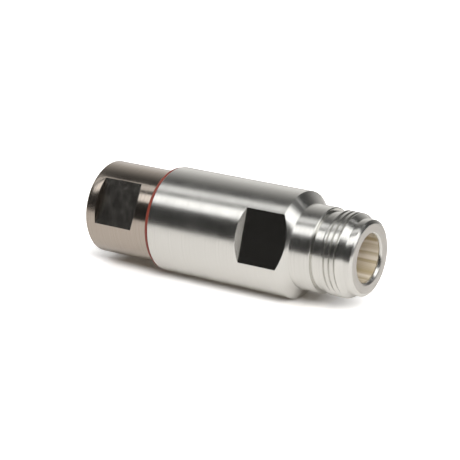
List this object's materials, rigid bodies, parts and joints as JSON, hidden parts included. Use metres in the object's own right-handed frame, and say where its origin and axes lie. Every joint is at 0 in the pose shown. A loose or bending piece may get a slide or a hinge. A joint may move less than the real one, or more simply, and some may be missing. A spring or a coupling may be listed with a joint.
{
  "type": "n type connector",
  "caption": "Female N-type coaxial connector with a clamp nut for corrugated cable: milled flats on body and nut, red sealing ring, short coupling thread.",
  "frame": {"origin": "centre of the back nut's rear face, on which the connector stands", "axes": "+Z along the connector's axis towards the coupling interface; the front body's two spanner flats are square to Y"},
  "size_m": [0.0202, 0.0202, 0.0577],
  "materials": {
    "plated_body": "brass with bright white-bronze plating, fine turned",
    "nickel_nut": "brass with nickel plating, turned, satin",
    "gold_contact": "gold-plated spring bronze",
    "ptfe": "turned PTFE",
    "red_silicone": "moulded silicone rubber",
    "black_rubber": "moulded rubber",
    "spring_steel": "bright spring steel"
  },
  "bodies": {
    "front": {"front_body": "plated_body", "front_bead": "ptfe", "bead_bush": "plated_body", "rear_bead": "ptfe", "flaring_bush": "plated_body", "centre_contact": "gold_contact", "rear_socket": "gold_contact"},
    "clamp": {"thrust_ring": "nickel_nut", "jaw_1": "plated_body", "jaw_2": "plated_body", "jaw_3": "plated_body", "jaw_4": "plated_body", "jaw_5": "plated_body", "jaw_6": "plated_body", "jaw_wire": "spring_steel"},
    "nut": {"back_nut": "nickel_nut", "seal_ring": "red_silicone", "jacket_gasket": "black_rubber", "retaining_ring": "spring_steel"}
  },
  "joints": [
    {"name": "nut_travel", "type": "slide", "parent": "front", "child": "clamp", "axis": [0, 0, -1], "range_m": [0, 0.008]},
    {"name": "nut_turn", "type": "hinge", "parent": "clamp", "child": "nut", "pos_m": [0, 0, 0.02], "axis": [0, 0, -1], "range_deg": [0, 2880]}
  ],
  "couplings": [
    {"joint": "nut_travel", "follows": "nut_turn", "m_per_rad": 0.00015915}
  ]
}
